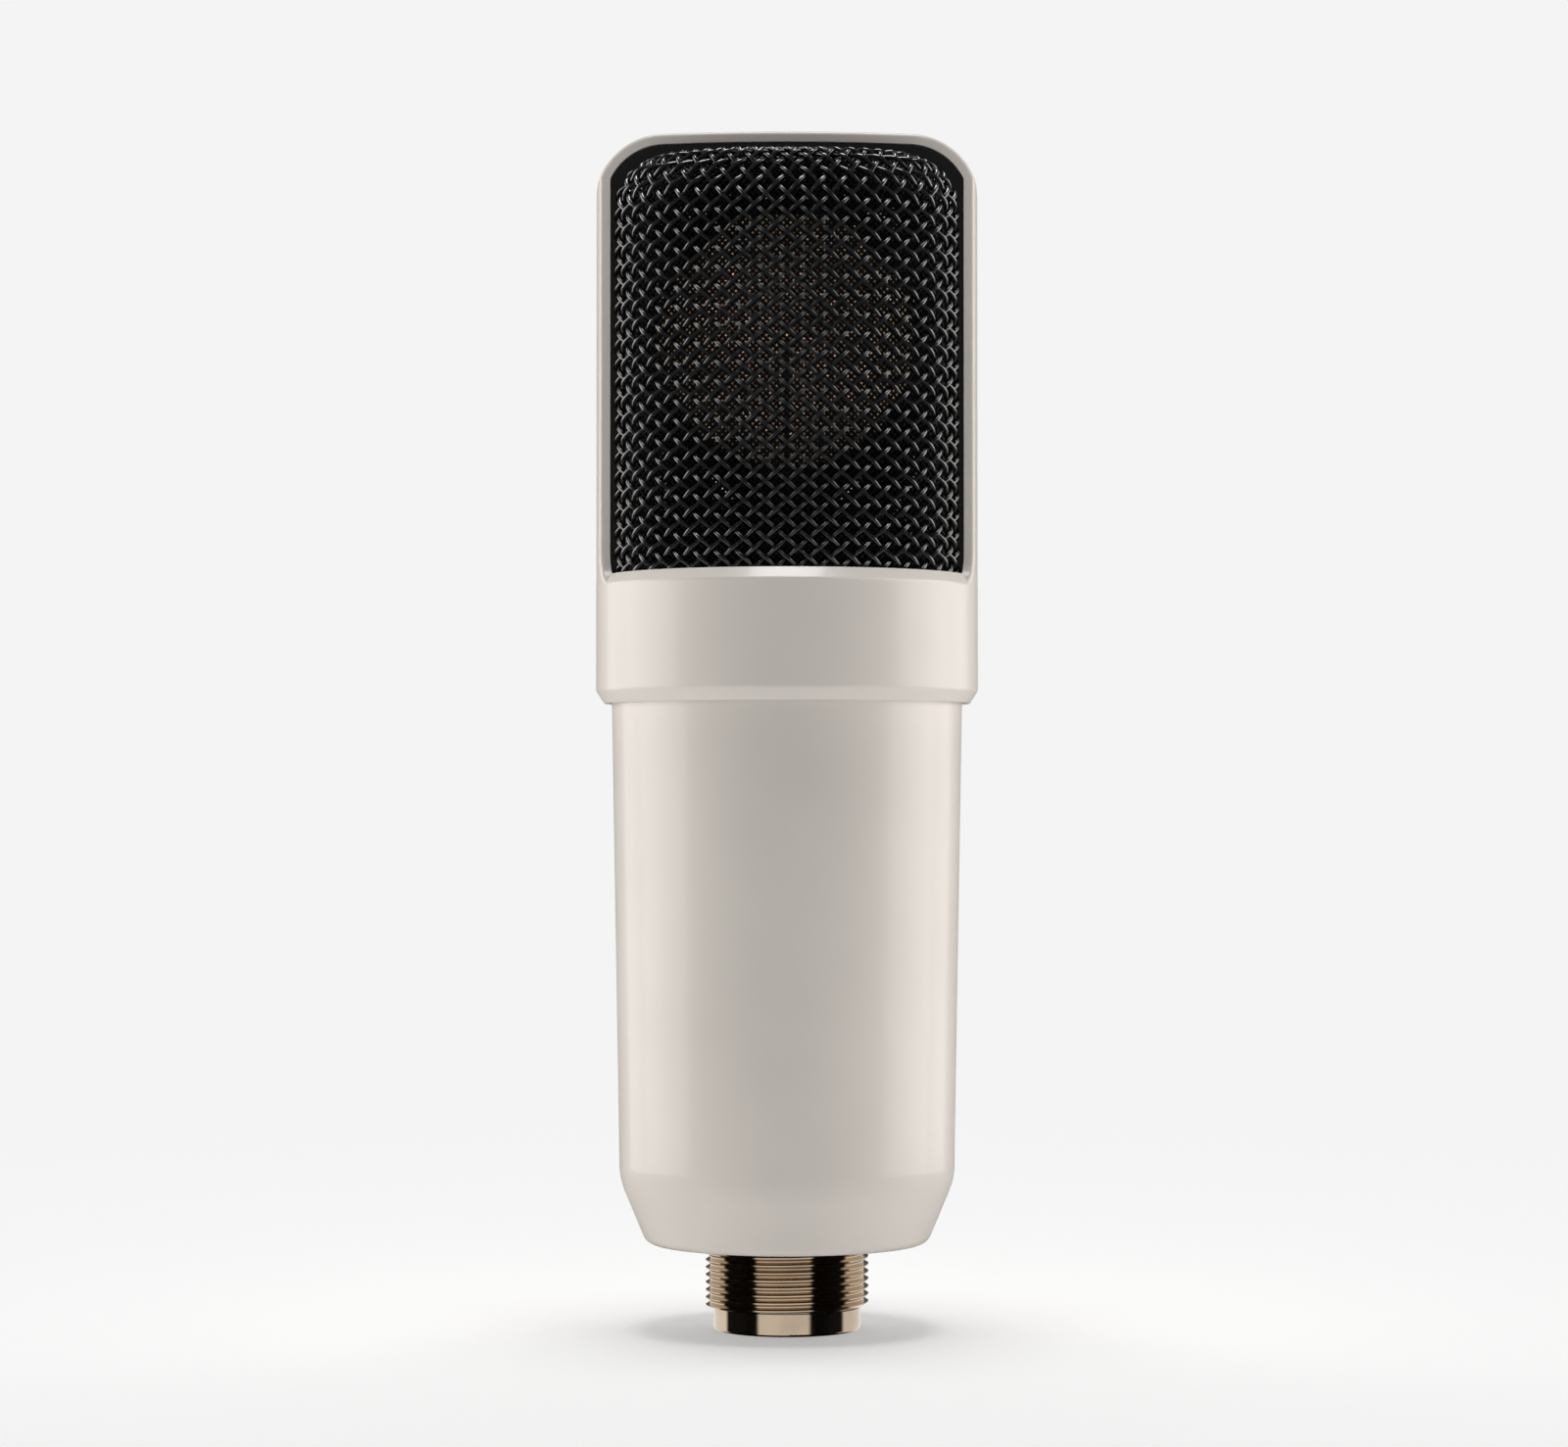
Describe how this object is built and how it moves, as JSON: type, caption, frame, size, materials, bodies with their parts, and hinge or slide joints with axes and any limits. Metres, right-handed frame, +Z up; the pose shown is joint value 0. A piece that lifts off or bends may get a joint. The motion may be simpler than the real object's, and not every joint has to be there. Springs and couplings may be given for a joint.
{
  "type": "desktop microphone",
  "caption": "Side-address condenser microphone: tapered round enamelled body with a collar, woven-wire head grille held in a hoop, and a threaded base that takes a locking audio plug.",
  "frame": {"origin": "centre of the flat rim of the base's nose, on the surface that the microphone stands on", "axes": "+Z up along the microphone's axis, -Y out of the side that is spoken into, +X to the right of someone who faces that side"},
  "size_m": [0.0516, 0.0516, 0.1611],
  "materials": {
    "black_plastic": "moulded, satin",
    "black_strip": "satin black",
    "black_wire": "satin black, woven wire",
    "board_green": "solder mask on glass laminate",
    "capacitor_red": "dipped film capacitor case",
    "capacitor_sleeve": "shrink sleeve",
    "capsule_brass": "turned and lapped",
    "dark_nickel": "black-nickel plating, polished",
    "enamel": "semi-gloss baked enamel, warm off-white",
    "fine_wire": "satin black, fine woven wire",
    "gold_contact": "gold plated",
    "gold_film": "gold-sputtered film",
    "lead_black": "insulated hook-up wire",
    "lead_white": "insulated hook-up wire",
    "navy_plastic": "moulded, satin",
    "plate_aluminium": "milled",
    "resistor_blue": "lacquered metal-film",
    "screw_steel": "zinc plated",
    "soft_rubber": "matte",
    "spacer_plastic": "turned insulating plastic",
    "tinned_steel": "tinned, dull"
  },
  "bodies": {
    "root": {"board_screws": "screw_steel", "body_tube": "enamel", "capsule_lead_front": "lead_black", "capsule_lead_rear": "lead_black", "capsule_saddle": "navy_plastic", "capsule_spacer": "spacer_plastic", "circuit_board": "board_green", "deck_screws": "screw_steel", "electrolytic_capacitors": "capacitor_sleeve", "film_capacitors": "capacitor_red", "front_backplate": "capsule_brass", "front_clamp_ring": "capsule_brass", "front_diaphragm": "gold_film", "front_grille": "black_wire", "front_grille_liner": "fine_wire", "front_grille_rim": "black_strip", "front_ring_screws": "screw_steel", "front_terminal": "gold_contact", "head_frame": "enamel", "input_shield": "tinned_steel", "left_rail": "plate_aluminium", "lower_end_plate": "plate_aluminium", "rail_screws": "screw_steel", "rear_backplate": "capsule_brass", "rear_clamp_ring": "capsule_brass", "rear_diaphragm": "gold_film", "rear_grille": "black_wire", "rear_grille_liner": "fine_wire", "rear_grille_rim": "black_strip", "rear_ring_screws": "screw_steel", "rear_terminal": "gold_contact", "resistors": "resistor_blue", "right_rail": "plate_aluminium", "saddle_isolators": "soft_rubber", "saddle_screws": "screw_steel", "socket_insulator": "black_plastic", "socket_lead_1": "lead_white", "socket_lead_2": "lead_white", "socket_lead_3": "lead_white", "socket_pin_1": "gold_contact", "socket_pin_2": "gold_contact", "socket_pin_3": "gold_contact", "socket_shell": "dark_nickel", "threaded_base": "dark_nickel", "transistors": "black_plastic", "tube_gasket": "soft_rubber", "upper_end_plate": "plate_aluminium"}
  },
  "joints": []
}
